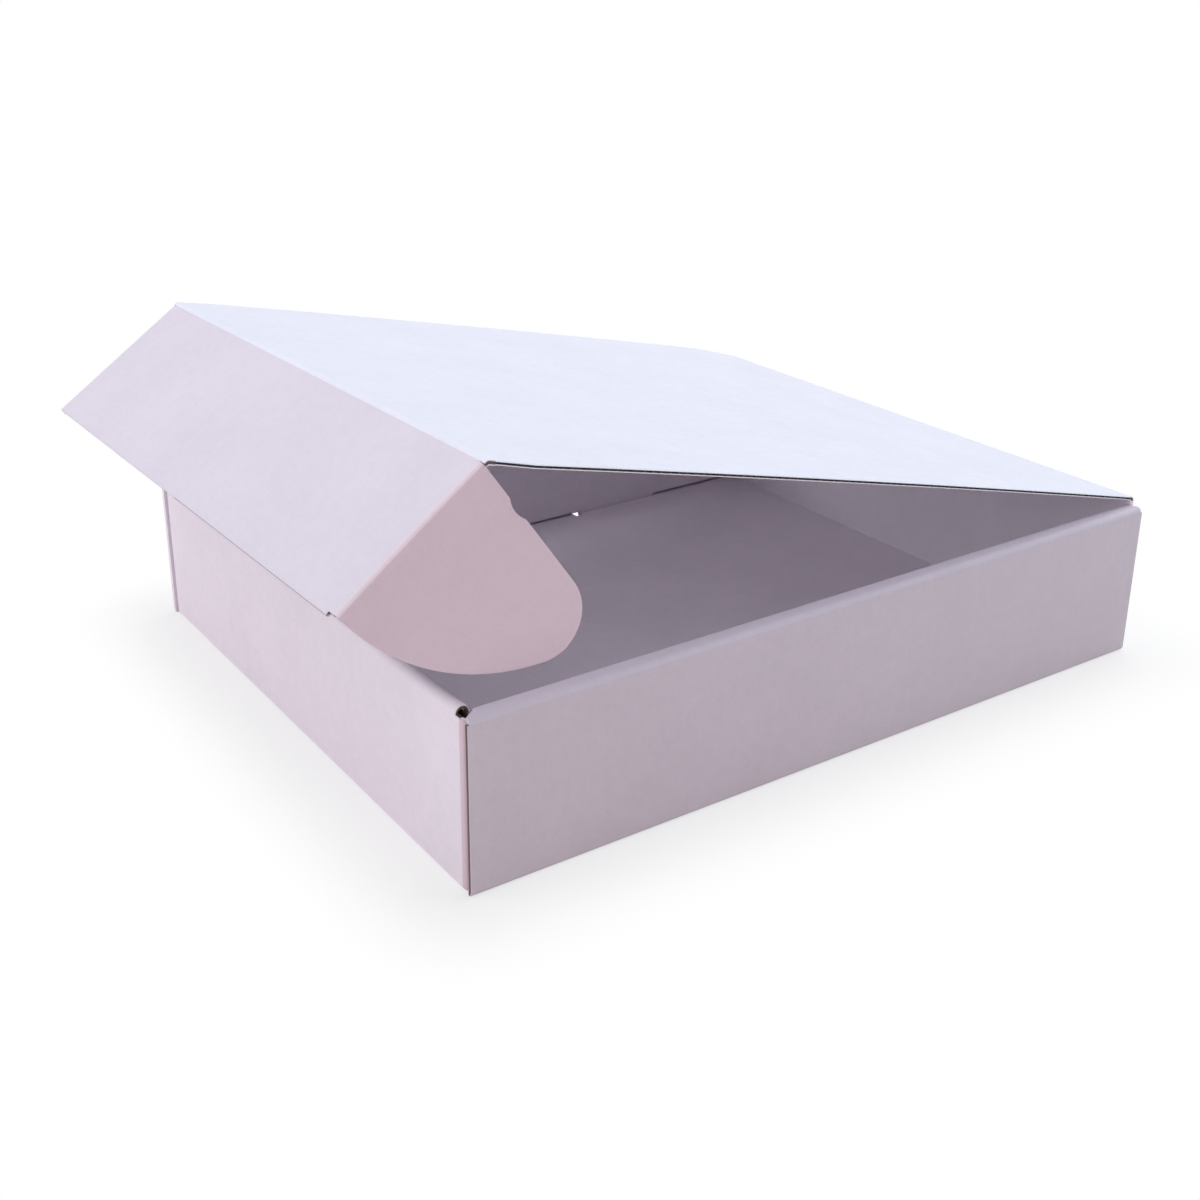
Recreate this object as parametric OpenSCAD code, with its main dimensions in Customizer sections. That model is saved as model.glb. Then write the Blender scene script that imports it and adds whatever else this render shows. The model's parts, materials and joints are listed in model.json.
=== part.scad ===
// Roll-end mailer box, folded from one die-cut sheet of white fluted board.
// X runs along the front, -Y is the front, +Z is up.
// The origin is the middle of the base's underside.

/* [Board] */
// Thickness of the fluted board
board = 1.6; // [1.2:0.1:2]
// Inner radius of a sharp fold
crease_r = 0.3; // [0.1:0.1:0.6]
// Air left between two plies that lie side by side
ply_gap = 0.3; // [0.2:0.1:0.6]

/* [Body] */
// Outer width, along the front
body_w = 250; // [220:1:360]
// Outer depth, front to rear
body_d = 293; // [260:1:420]
// Outer height to the top of the rolled walls
body_h = 59.8; // [50:0.2:90]
// Width of the flat strip on top of a double side wall
side_roll = 7; // [6.4:0.1:10]
// Width of the round roll on top of the double front wall
front_roll = 5.2; // [4.4:0.1:8]
// How far behind the front face the side rolls begin
roll_start = 5; // [3:0.5:9]

/* [Lock tabs] */
// Length of a tab on a side wall's inner panel
side_tab = 43; // [30:1:60]
// Distance between the middles of the two side tabs
side_tab_pitch = 147; // [120:1:170]
// Length of a tab on the front wall's inner panel
front_tab = 36; // [24:1:50]
// Distance between the middles of the two front tabs
front_tab_pitch = 120; // [90:1:140]
// Spare length of a slot at its end nearer the middle
slot_slack = 3.2; // [1:0.2:5]
// Gap between the base and an inner panel's foot
foot_gap = 0.8; // [0.4:0.1:1.6]

/* [Dust flaps] */
// Length of a dust flap inside a double side wall
dust_len = 68; // [40:1:100]
// Taper of a dust flap's upper edge at its free end
dust_taper = 7; // [2:0.5:12]

/* [Lid] */
// Inset of the lid's raw side edges from the body's sides
lid_inset = 4.5; // [3:0.5:7]
// Gap under the closed lid, above the rolled walls
lid_lift = 1.6; // [0.4:0.1:2]
// Angle at which the lid stands open
lid_open = 13.8; // [12:0.1:100]
// Length over which the lid narrows to the tuck flap
lid_taper_run = 14; // [6:1:30]

/* [Tuck flap] */
// Angle between the lid's plane and the tuck flap
flap_bend = 47.5; // [0:0.5:90]
// Gap between the tucked flap and the front wall
tuck_gap = 0.4; // [0.3:0.1:2]
// Gap between the tucked flap's lower edge and the base
flap_foot_gap = 0.8; // [0.6:0.1:4]
// Width of the small step cut in each lower corner of the flap
step_w = 5; // [2:0.5:10]
// Height of that step
step_h = 1.3; // [0.6:0.1:3]

/* [Ears] */
// Angle through which the ears are folded in
ear_fold = 90; // [0:1:98]
// Length of an ear, out from its fold
ear_len = 65; // [56:0.5:80]
// Radius of the ear's round end
ear_end_r = 15; // [12:0.5:22]
// Radius of the ear's long lower edge
ear_edge_r = 74; // [66:1:110]
// Gap between a tucked ear and a side wall
ear_side_gap = 0.4; // [0.3:0.1:2]
// Distance of the ear's upper edge below the lid's fold line
ear_top_gap = 1.2; // [1.1:0.1:4]
// Distance of the ear's lower edge above the flap's lower edge
ear_foot_gap = 1.4; // [0.5:0.1:4]
// Distance of the locking notch from the ear's fold
notch_at = 18; // [14:0.5:28]
// Width of the locking notch
notch_w = 9; // [4:0.5:12]
// Depth of the locking notch
notch_h = 1.2; // [0.4:0.1:2]

/* [Hidden] */
$fn = 96;
outer_white = "#ECE8EE";
flap_white = "#E4DCE4";
// Clearance between the two boards at a moving crease
crease_gap = 0.3;
// Clearance of a tab in its slot
slot_gap = 0.3;
// Height of a tab's end above the underside
tab_rise = 0.2;
// How far an ear's round end stands proud of the circle of its long edge
end_proud = 0.1;
// Overrun of cutting shapes
over = 1;

fold_r = board + crease_r;
half_w = body_w / 2;
half_d = body_d / 2;
half_board = board / 2;
crease_r_out = half_board + crease_gap;
front_roll_r = front_roll / 2;
inner_half_w = half_w - side_roll;
foot_z = board + foot_gap;
side_roll_len = body_d - roll_start - board - ply_gap;
wall_half_w = half_w - board - ply_gap;
wall_flat_half_w = wall_half_w - fold_r;
dust_foot_z = board + ply_gap;
dust_top_z = body_h - board - 2 * ply_gap;
hinge_y = half_d - half_board;
hinge_z = body_h + lid_lift + half_board;
lid_half_w = half_w - lid_inset;
lid_len = hinge_y + half_d - front_roll - tuck_gap - half_board;
ear_x = inner_half_w - ear_side_gap - half_board;
flap_half_w = ear_x + half_board;
flap_len = hinge_z - board - flap_foot_gap;
ear_low = flap_len - ear_foot_gap;
end_at = [ear_len - ear_end_r, ear_top_gap + ear_end_r];
edge_v = ear_low - ear_edge_r;
edge_to_end = ear_edge_r - ear_end_r + end_proud;
edge_at = [end_at.x - sqrt(pow(edge_to_end, 2) - pow(end_at.y - edge_v, 2)), edge_v];
edge_dir = (end_at - edge_at) / edge_to_end;
notch_r = (pow(notch_w / 2, 2) + pow(notch_h, 2)) / (2 * notch_h);

// Board bent a quarter turn: a ring sector between +X and +Y.
module quarter_bend(r) {
    intersection() {
        difference() {
            circle(r);
            circle(r - board);
        }
        square(r);
    }
}

// Runs a profile drawn with its Y up along the depth, from y0 over a length.
module along_depth(y0, length) {
    translate([0, y0 + length, 0])
        rotate([90, 0, 0])
            linear_extrude(length) children();
}

// Runs a profile drawn as (depth, height) along the width, centred.
module along_width(length) {
    rotate([90, 0, 90])
        linear_extrude(length, center = true) children();
}

// Repeats a shape on both sides of the middle plane.
module both_sides() {
    children();
    mirror([1, 0, 0]) children();
}

// Repeats a shape at the front and at the rear.
module both_ends() {
    children();
    mirror([0, 1, 0]) children();
}

// Outer panel of the right wall with its bottom fold, in section.
module side_outer_section() {
    translate([half_w - board, fold_r])
        square([board, body_h - 2 * fold_r]);
    translate([half_w - fold_r, fold_r])
        rotate(-90) quarter_bend(fold_r);
}

// Rolled top strip and inner panel of the right wall, in section.
module side_roll_section() {
    translate([half_w - fold_r, body_h - fold_r])
        quarter_bend(fold_r);
    translate([inner_half_w + fold_r, body_h - board])
        square([side_roll - 2 * fold_r, board]);
    translate([inner_half_w + fold_r, body_h - fold_r])
        rotate(90) quarter_bend(fold_r);
    translate([inner_half_w, foot_z])
        square([board, body_h - fold_r - foot_z]);
}

// Tabs below the right wall's inner panel, or their slots when grown.
module side_tabs(grow, slack, bottom, top) {
    both_ends()
        translate([inner_half_w - grow, (side_tab_pitch - side_tab) / 2 - grow - slack, bottom])
            cube([board + 2 * grow, side_tab + 2 * grow + slack, top - bottom]);
}

// Tabs below the front wall's inner panel, or their slots when grown.
module front_tabs(grow, slack, bottom, top) {
    x0 = (front_tab_pitch - front_tab) / 2 - grow - slack;
    y0 = front_roll - board - grow - half_d;
    both_sides()
        translate([x0, y0, bottom])
            cube([front_tab + 2 * grow + slack, board + 2 * grow, top - bottom]);
}

// Double side wall on the right: outer panel, roll, inner panel and tabs.
module side_wall() {
    along_depth(-half_d, body_d) side_outer_section();
    along_depth(roll_start - half_d, side_roll_len) side_roll_section();
    side_tabs(0, 0, tab_rise, foot_z);
}

// Fold from the base up into a front or rear wall, with the wall up to a height.
module wall_section(top) {
    translate([fold_r - half_d, fold_r])
        rotate(180) quarter_bend(fold_r);
    translate([-half_d, fold_r])
        square([board, top - fold_r]);
}

// Round roll and inner panel of the front wall, in section.
module front_roll_section() {
    translate([front_roll_r - half_d, body_h - front_roll_r]) {
        quarter_bend(front_roll_r);
        rotate(90) quarter_bend(front_roll_r);
    }
    translate([front_roll - board - half_d, foot_z])
        square([board, body_h - front_roll_r - foot_z]);
}

// Dust flaps at the two ends of the front wall, with their upright folds.
module dust_flaps(fold_top) {
    both_sides() {
        translate([wall_flat_half_w, fold_r - half_d, fold_r])
            linear_extrude(fold_top - fold_r)
                rotate(-90) quarter_bend(fold_r);
        translate([wall_half_w - board, 0, 0])
            rotate([90, 0, 90])
                linear_extrude(board)
                    polygon([
                        [fold_r - half_d, dust_foot_z],
                        [dust_len - half_d, dust_foot_z],
                        [dust_len - half_d, dust_top_z - dust_taper],
                        [dust_len - dust_taper - half_d, dust_top_z],
                        [fold_r - half_d, fold_top],
                    ]);
    }
}

// Double front wall between the side walls.
module front_wall() {
    shoulder = body_h - front_roll_r;
    along_width(2 * wall_flat_half_w) wall_section(shoulder);
    along_width(2 * (inner_half_w - ply_gap)) front_roll_section();
    dust_flaps(shoulder);
    front_tabs(0, 0, tab_rise, foot_z);
}

// Single rear wall, ending in the round of the lid's crease.
module rear_wall() {
    mirror([0, 1, 0]) {
        along_width(2 * wall_flat_half_w) wall_section(dust_top_z);
        dust_flaps(dust_top_z);
    }
    along_width(2 * lid_half_w) {
        translate([half_d - board, dust_top_z])
            square([board, hinge_z - dust_top_z]);
        translate([hinge_y, hinge_z])
            circle(half_board);
    }
}

// Base with the slots for the lock tabs.
module base() {
    difference() {
        translate([fold_r - half_w, fold_r - half_d, 0])
            cube([body_w - 2 * fold_r, body_d - 2 * fold_r, board]);
        both_sides() side_tabs(slot_gap, slot_slack, -over, board + over);
        front_tabs(slot_gap, slot_slack, -over, board + over);
    }
}

// Everything below the lid: base, double walls, rear wall and dust flaps.
module box_body() {
    color(outer_white) {
        base();
        both_sides() side_wall();
        front_wall();
        rear_wall();
    }
}

// Places a shape in the lid's frame: the crease on the rear wall, the lid towards -Y.
module on_lid() {
    translate([0, hinge_y, hinge_z])
        rotate([-lid_open, 0, 0]) children();
}

// Places a shape in the flap's frame: the lid's front fold, the flap towards -Y.
module on_flap() {
    on_lid()
        translate([0, -lid_len, 0])
            rotate([flap_bend, 0, 0]) children();
}

// Lid, narrowed at its front corners to the width of the tuck flap.
module lid_panel() {
    color(outer_white)
        on_lid() {
            linear_extrude(board, center = true)
                polygon([
                    [-lid_half_w, -crease_r_out],
                    [-lid_half_w, lid_taper_run - lid_len],
                    [-flap_half_w, -lid_len],
                    [flap_half_w, -lid_len],
                    [lid_half_w, lid_taper_run - lid_len],
                    [lid_half_w, -crease_r_out],
                ]);
            translate([0, -lid_len, 0])
                rotate([0, 90, 0])
                    cylinder(r = half_board, h = 2 * flap_half_w, center = true);
        }
}

// Tuck flap with a round crease on each side for the ears.
module tuck_flap() {
    color(flap_white)
        on_flap() {
            linear_extrude(board, center = true)
                polygon([
                    [-ear_x, -crease_r_out],
                    [-ear_x, step_h - flap_len],
                    [step_w - ear_x, step_h - flap_len],
                    [step_w - ear_x, -flap_len],
                    [ear_x - step_w, -flap_len],
                    [ear_x - step_w, step_h - flap_len],
                    [ear_x, step_h - flap_len],
                    [ear_x, -crease_r_out],
                ]);
            both_sides()
                translate([ear_x, -crease_r_out, 0])
                    rotate([90, 0, 0])
                        cylinder(r = half_board, h = flap_len - step_h - crease_r_out);
        }
}

// Outline of an ear: out from its fold along X, down the flap along Y.
module ear_outline() {
    far = edge_at + edge_dir * (ear_edge_r + over);
    difference() {
        union() {
            intersection() {
                translate(edge_at) circle(ear_edge_r);
                polygon([
                    [crease_r_out, ear_top_gap],
                    [end_at.x, ear_top_gap],
                    end_at,
                    far,
                    [far.x, ear_low + over],
                    [crease_r_out, ear_low + over],
                ]);
            }
            intersection() {
                translate(end_at) circle(ear_end_r);
                translate([end_at.x, ear_top_gap - over])
                    square([ear_end_r + over, ear_low]);
            }
        }
        translate([notch_at, ear_top_gap + notch_h - notch_r]) circle(notch_r);
    }
}

// One ear beside the flap's right edge, folded towards the flap's inner face.
module ear() {
    translate([ear_x, 0, 0])
        rotate([0, ear_fold, 0])
            linear_extrude(board, center = true)
                mirror([0, 1, 0]) ear_outline();
}

// Ear on the flap's left end.
module left_ear() {
    color(flap_white)
        on_flap() mirror([1, 0, 0]) ear();
}

// Ear on the flap's right end.
module right_ear() {
    color(flap_white)
        on_flap() ear();
}

box_body();
lid_panel();
tuck_flap();
left_ear();
right_ear();
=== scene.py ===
"""Looks of the mailer box: every panel as two paper liners with a fluted sheet between them, folded and
creased."""
import json
import math
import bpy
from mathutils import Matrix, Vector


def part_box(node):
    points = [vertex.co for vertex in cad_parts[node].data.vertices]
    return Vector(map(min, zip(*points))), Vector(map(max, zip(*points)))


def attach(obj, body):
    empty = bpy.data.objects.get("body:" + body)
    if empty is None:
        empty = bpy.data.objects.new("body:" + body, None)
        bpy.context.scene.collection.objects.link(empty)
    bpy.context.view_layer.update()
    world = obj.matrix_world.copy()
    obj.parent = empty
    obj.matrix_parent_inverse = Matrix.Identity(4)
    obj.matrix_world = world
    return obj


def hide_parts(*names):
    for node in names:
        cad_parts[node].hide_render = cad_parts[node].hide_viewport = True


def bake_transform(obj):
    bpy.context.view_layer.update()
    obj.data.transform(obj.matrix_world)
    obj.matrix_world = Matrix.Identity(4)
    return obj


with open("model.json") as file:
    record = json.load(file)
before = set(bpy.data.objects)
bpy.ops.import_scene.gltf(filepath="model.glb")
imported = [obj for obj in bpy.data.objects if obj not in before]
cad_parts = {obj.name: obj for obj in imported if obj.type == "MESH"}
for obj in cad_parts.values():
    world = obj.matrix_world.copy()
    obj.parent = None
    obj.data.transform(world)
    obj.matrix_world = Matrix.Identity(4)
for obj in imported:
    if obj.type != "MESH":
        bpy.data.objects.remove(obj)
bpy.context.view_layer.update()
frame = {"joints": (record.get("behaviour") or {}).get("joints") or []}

from types import SimpleNamespace

import bpy
import numpy as np
from bpy.types import Operator, Panel, PropertyGroup
from mathutils import Matrix

bl_info = {
    "name": "Mailer box",
    "version": (1, 0, 0),
    "blender": (4, 5, 0),
    "location": "3D View > Sidebar > Mailer box",
    "description": "Builds a white fluted-board mailer box around its packed frame",
    "category": "Object",
}

MM = 0.001
JOINTS = {joint["name"]: joint for joint in frame["joints"]}
HINGE = np.array(JOINTS["lid_crease"]["pos_m"]) / MM
FOLD = np.array(JOINTS["flap_crease"]["pos_m"]) / MM
EAR_X = JOINTS["right_ear_crease"]["pos_m"][0] / MM
EAR_AXIS = JOINTS["right_ear_crease"]["axis"]
BODY_HIGH = np.array(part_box("box_body")[1]) / MM
LID_LEN = float(np.hypot(*(FOLD - HINGE)[1:]))
LID_OPEN = float(np.arctan2(FOLD[2] - HINGE[2], HINGE[1] - FOLD[1]))
FLAP_BEND = LID_OPEN + math.atan2(EAR_AXIS[2], EAR_AXIS[1])


def linear(code):
    """Linear RGBA of an sRGB hex colour: each channel over 255, then the sRGB curve undone."""
    c = np.array([int(code[i:i + 2], 16) for i in (1, 3, 5)]) / 255
    c = np.where(c <= 0.04045, c / 12.92, ((c + 0.055) / 1.055) ** 2.4)
    return (*c.tolist(), 1.0)


def length(name, description, millimetres):
    """A length property, shown in Blender's own unit, with its default given in millimetres."""
    return bpy.props.FloatProperty(name=name, description=description, default=millimetres * MM, min=0.0,
                                   precision=5, unit="LENGTH")


def angle(name, description, degrees):
    """An angle property with its default given in degrees."""
    return bpy.props.FloatProperty(name=name, description=description, default=math.radians(degrees),
                                   subtype="ANGLE")


def colour(name, description, code):
    """A colour property with its default given as an sRGB hex value."""
    return bpy.props.FloatVectorProperty(name=name, description=description, default=linear(code), size=4,
                                         min=0.0, max=1.0, subtype="COLOR")


class MailerBoard(PropertyGroup):
    """The board that the whole box is cut from."""
    board: length("Board", "Thickness of the fluted board", 1.6)
    liner: length("Liner", "Thickness of each paper liner", 0.32)
    medium: length("Medium", "Thickness of the fluted sheet", 0.22)
    flute: length("Flute pitch", "Distance between two flutes", 3.2)
    crease: length("Crease radius", "Inner radius of a sharp fold", 0.3)
    crush: length("Crush width", "Width along a cut edge that the die crushes", 1.2)
    pinch: bpy.props.FloatProperty(name="Pinch", description="Share of its thickness that a cut edge loses",
                                   default=0.3, min=0.0, max=0.6, subtype="FACTOR")
    recess: length("Recess", "How far the fluted sheet ends short of the liners at a cut edge", 0.7)
    # Painted light: the lid is the same white paper as the walls, drawn lighter and bluer for the cool light
    # from above.
    lid_white: colour("Lid white", "Outer liner on the lid", "#ECEEFB")
    # Painted shade: the flap is the lid's board, drawn a little darker and pinker where it turns down from
    # the light above.
    flap_white: colour("Flap white", "Outer liner on the tuck flap", "#E1DAE7")
    wall_white: colour("Wall white", "Outer liner on the front and rear walls", "#EAE0E9")
    # Painted shade and light: the side walls are the same white paper, drawn darker and pinker for their
    # shade and a pink light from the front right.
    side_white: colour("Side white", "Outer liner on the side walls", "#D3C4CE")
    # Painted shade: the rolled tops are the side walls' white paper, drawn a bluish grey for the shade of the
    # lid over them.
    roll_white: colour("Roll white", "Outer liner on the side walls' rolled tops", "#D2C8D7")
    # Painted shade: the upright folds are the wall's white paper, drawn a darker pink where they turn away
    # from the light.
    corner_white: colour("Corner white", "Outer liner on the upright folds", "#DAC4CE")
    # Painted light: the ears are the flap's white paper, drawn pinker for a pink light from the front right.
    ear_white: colour("Ear white", "Outer liner on the ears", "#E1C8D2")
    # Painted light: the folds between the flap and the ears are drawn in a tint between the flap's and the
    # ears', as the light changes across the bend.
    fold_white: colour("Fold white", "Outer liner on the folds between the flap and the ears", "#E8D8E4")
    # Partly painted light: the inner liner is white paper, set a little lighter than the outer liner to lift
    # the shade inside the box.
    inner_white: colour("Inner white", "Liner that faces the goods", "#F3ECF5")
    fluting: colour("Fluting", "Recycled paper of the fluted sheet", "#6E5A55")


class MailerBody(PropertyGroup):
    """Sizes of the folded body."""
    side_roll: length("Side roll", "Width of the flat strip on top of a side wall", 7.0)
    front_roll: length("Front roll", "Width of the round roll on top of the front wall", 5.2)
    height: length("Height", "Height to the top of the rolled walls", 59.8)
    roll_start: length("Roll start", "How far behind the front face the side rolls begin", 5.0)
    front_slant: length("Front slant", "How far a side roll's outer fold runs on towards the front", 4.2)
    rear_slant: length("Rear slant", "How far a side roll's outer fold runs on towards the rear", 1.2)
    set_back: length("Set back", "How far the right side panel ends behind the front face", 0.2)
    lip: length("Lip", "How far the left side panel stands out past the front face", 0.4)
    groove: length("Groove", "Width of crushed board at a side panel's front end", 2.4)
    groove_deep: length("Groove depth", "How far that board ends short of its outer liner", 0.05)
    roll_rim: length("Roll rim", "Width of crushed white board at a side roll's front end", 0.8)
    foot_out: length("Foot out", "How far the front stands out at its foot", 0.7)
    lean: length("Lean", "How far the front leans back from its foot to its top", 1.5)
    push: length("Push", "How far the front has been pushed in on the left", 1.3)
    settle: length("Settle", "Depth over which the front has settled", 36.0)
    roll_short: length("Roll short", "How far the front roll ends short of the side walls", 0.4)
    roll_rise: length("Roll rise", "How far the front roll has sprung up at its ends", 1.2)
    rise_run: length("Rise run", "Length over which the front roll rises", 25.0)
    corner: length("Corner", "Outer radius of the upright folds", 3.0)
    ply_gap: length("Ply gap", "Air between two plies that lie side by side", 0.3)
    foot_gap: length("Foot gap", "Gap between the base and an inner panel's foot", 1.1)
    side_tab: length("Side tab", "Length of a lock tab on a side wall", 43.0)
    side_tab_pitch: length("Side tab pitch", "Distance between the middles of the side tabs", 147.0)
    front_tab: length("Front tab", "Length of a lock tab on the front wall", 36.0)
    front_tab_pitch: length("Front tab pitch", "Distance between the middles of the front tabs", 120.0)
    slot_slack: length("Slot slack", "Spare length of a slot towards the middle", 3.2)
    slot_gap: length("Slot gap", "Clearance of a tab in its slot", 0.3)
    relief: length("Relief", "How far the relief at a rear side slot's spare end reaches into the base", 2.4)
    tab_rise: length("Tab rise", "Height of a tab's end above the underside", 0.2)
    dust_len: length("Dust flap", "Length of a dust flap inside a side wall", 68.0)
    dust_taper: length("Dust flap taper", "Taper of a dust flap's free end", 7.0)


class MailerLid(PropertyGroup):
    """Sizes of the lid, its flap and its ears, and how the lid has warped."""
    half_width: length("Half width", "Half the width of the lid", 120.5)
    taper: length("Taper", "Length over which the lid narrows to the flap", 14.0)
    flap_len: length("Flap", "Length of the tuck flap from its fold", 59.8)
    step_w: length("Step width", "Width of the step in each lower corner of the flap", 5.0)
    step_h: length("Step height", "Height of that step", 1.3)
    ear_len: length("Ear", "Length of an ear from its fold", 65.0)
    ear_top: length("Ear top", "Distance of an ear's upper edge below the lid's fold", 1.2)
    ear_low: length("Ear low", "Distance of an ear's lower edge below the lid's fold", 58.4)
    ear_end: length("Ear end", "Radius of an ear's round end", 15.0)
    ear_edge: length("Ear edge", "Radius of an ear's long lower edge", 74.0)
    notch_at: length("Notch", "Distance of the locking notch from the ear's fold", 18.0)
    notch_w: length("Notch width", "Width of the locking notch", 9.0)
    notch_h: length("Notch depth", "Depth of the locking notch", 1.2)
    bow: length("Bow", "How far the middle of the lid stands proud of its edges", 0.8)
    lift: length("Lift", "How far the lid's left side has sprung up near the rear crease", 1.8)
    bevel: length("Bevel", "How far the outer liner ends short of the flap's lower edge", 0.08)
    flap_spring: angle("Flap spring", "Extra bend of the whole flap's lower edge", 1.2)
    flap_twist: angle("Flap twist", "Extra bend of the lower edge's right end", 1.1)
    twist: angle("Twist", "Turn of the lid's front edge against its rear edge", 0.75)


def sizes(group):
    """The lengths of a property group in millimetres, and its other numbers as they are."""
    values = SimpleNamespace()
    for key, prop in group.bl_rna.properties.items():
        if prop.type == "FLOAT" and not prop.is_array:
            setattr(values, key, getattr(group, key) / (MM if prop.unit == "LENGTH" else 1.0))
    return values


def board_sizes():
    """Sizes of the board."""
    return sizes(bpy.context.scene.mailer_board)


def lid_sizes():
    """Sizes of the lid, its flap and its ears."""
    return sizes(bpy.context.scene.mailer_lid)


def body_sizes():
    """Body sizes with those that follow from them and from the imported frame."""
    b, v = board_sizes(), sizes(bpy.context.scene.mailer_body)
    v.half_w, v.half_d = BODY_HIGH[:2]
    v.fold = b.board + b.crease
    v.mid = b.board / 2
    v.fold_mid = v.fold - v.mid
    v.inner_w = v.half_w - v.side_roll
    v.foot = b.board + v.foot_gap
    v.roll_y0 = v.roll_start - v.half_d
    v.roll_y1 = v.half_d - b.board - v.ply_gap
    v.wall_half_w = v.half_w - b.board - v.ply_gap
    v.wall_flat = v.wall_half_w - v.corner
    v.roll_end = v.inner_w - v.roll_short
    v.dust_top = v.height - b.board - 2 * v.ply_gap
    v.dust_foot = b.board + v.ply_gap
    v.shoulder = v.height - v.front_roll / 2
    tabs = ((v.side_tab_pitch, v.side_tab), (v.front_tab_pitch, v.front_tab))
    v.side_ends, v.front_ends = (np.array([-p - t, t - p, p - t, p + t]) / 2 for p, t in tabs)
    return v


# Shape tools

# A step that leaves a straight stretch undivided, the steps of each turn, the points of each flute, the angle
# of a sharp edge, and the share of the crushed width at which the first points lie beside a cut edge.
WHOLE = 1e9
TURN_STEPS = 8
FLUTE_POINTS = 6
SHARP = math.radians(35)
FIRST_CRUSH_SHARE = 0.33
# The places of a piece's papers among its materials. The last is the outer liner in a second tint, which
# paints the light and shade on part of the piece.
OUTER, INNER, FLUTING, PAINTED_LIGHT_TINT = range(4)


def refined(values, step):
    """A rising list of values with more put evenly between them, so that no two lie further apart than
    step."""
    values = np.asarray(values, float)
    counts = np.maximum(1, np.ceil(np.diff(values) / step - 1e-9).astype(int))
    parts = [np.linspace(a, b, n, endpoint=False) for a, b, n in zip(values[:-1], values[1:], counts)]
    return np.concatenate(parts + [values[-1:]])


def fold_path(start, legs, side, step):
    """Centre line of a folded sheet in a plane.

    A leg is a point to run straight to, or (centre, radius, first angle, last angle) to turn about. The
    outward direction is the right of travel for side 1 and the left for side -1. Gives the points, the
    outward directions, the length run so far and, for each stretch between two points, the number of its
    leg."""
    points, outward, leg = [np.array([start], float)], [], []
    for k, item in enumerate(legs):
        last = points[-1][-1]
        if len(item) == 2:
            run = np.asarray(item, float) - last
            n = max(1, int(np.ceil(np.hypot(*run) / step)))
            t = np.linspace(0, 1, n + 1)[:, None]
            new = last + t * run
            out = np.repeat([[run[1], -run[0]]], n + 1, 0) / np.hypot(*run) * side
        else:
            centre, r, a0, a1 = item
            a = np.radians(np.linspace(a0, a1, TURN_STEPS + 1))
            out = np.stack([np.cos(a), np.sin(a)], 1)
            new = np.asarray(centre, float) + r * out
        if k == 0:
            outward.append(out[:1])
        points.append(new[1:])
        outward.append(out[1:])
        leg.append(np.full(len(new) - 1, k))
    points, outward = np.concatenate(points), np.concatenate(outward)
    run = np.r_[0, np.cumsum(np.hypot(*np.diff(points, axis=0).T))]
    return points, outward, run, np.concatenate(leg)


def slab(top, low, keep):
    """A closed sheet between two grids of points: the top and low faces of every kept cell, and a wall
    along each border between a kept cell and none. It is turned so that its top faces away from low."""
    i, j = np.argwhere(keep)[np.count_nonzero(keep) // 2]
    corner = top[i, j, :3]
    facing = np.cross(top[i + 1, j, :3] - corner, top[i, j + 1, :3] - corner)
    if facing @ (corner - low[i, j, :3]) < 0:
        top, low, keep = top[:, ::-1], low[:, ::-1], keep[:, ::-1]
    n, m = top.shape[:2]
    at = np.arange(n * m).reshape(n, m)
    under = at + n * m
    faces = [np.stack([at[:-1, :-1], at[1:, :-1], at[1:, 1:], at[:-1, 1:]], -1)[keep],
             np.stack([under[:-1, 1:], under[1:, 1:], under[1:, :-1], under[:-1, :-1]], -1)[keep]]
    pad = np.pad(keep, 1)
    left, right, near, far = pad[1:-1, :-1], pad[1:-1, 1:], pad[:-1, 1:-1], pad[1:, 1:-1]
    faces += [np.stack([at[:-1], under[:-1], under[1:], at[1:]], -1)[right & ~left],
              np.stack([at[1:], under[1:], under[:-1], at[:-1]], -1)[left & ~right],
              np.stack([at[:, :-1], at[:, 1:], under[:, 1:], under[:, :-1]], -1)[far & ~near],
              np.stack([at[:, :-1], under[:, :-1], under[:, 1:], at[:, 1:]], -1)[near & ~far]]
    points = np.concatenate([top.reshape(n * m, -1), low.reshape(n * m, -1)])
    faces = np.concatenate(faces)
    used, faces = np.unique(faces, return_inverse=True)
    return points[used], faces.reshape(-1, 4)


def layers(grid, wave_on_rows, outer, inner, crushed):
    """Sheets of one fluted board: outer liner, inner liner and the fluted sheet between them.

    grid(row step, column step, ply) gives place(height), the kept cells and each row's and column's run
    in mm, where place gives points and their distance across the flutes for a height above the middle of
    the board. The liners are its outer and inner skins. The fluted sheet rises and falls as a sine of the
    flute pitch. Crushed board is solid."""
    b = board_sizes()
    half = b.board / 2
    room = half - b.liner
    made = []
    for ply, high, low, paper in (("outer", half, room, outer), ("inner", -room, -half, inner)):
        place, keep = grid(WHOLE, WHOLE, ply)[:2]
        made.append((*slab(place(high), place(low), keep), paper))
    if crushed is not None:
        place, keep = grid(WHOLE, WHOLE, "core")[:2]
        return made + [(*slab(place(room), place(-room), keep), crushed)]
    step = b.flute / FLUTE_POINTS
    place, keep, rows, columns = grid(*((step, WHOLE) if wave_on_rows else (WHOLE, step)), "core")
    run = rows[:, None] if wave_on_rows else columns[None, :]
    wave = (room - b.medium / 2) * np.sin(2 * np.pi * run / b.flute)
    return made + [(*slab(place(wave + b.medium / 2), place(wave - b.medium / 2), keep), FLUTING)]


def pinched(distance):
    """Share of the board's thickness left at a distance from a cut edge: it rises as a parabola over the
    crush width."""
    b = board_sizes()
    return 1 - b.pinch * (1 - np.clip(distance / b.crush, 0, 1)) ** 2


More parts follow.
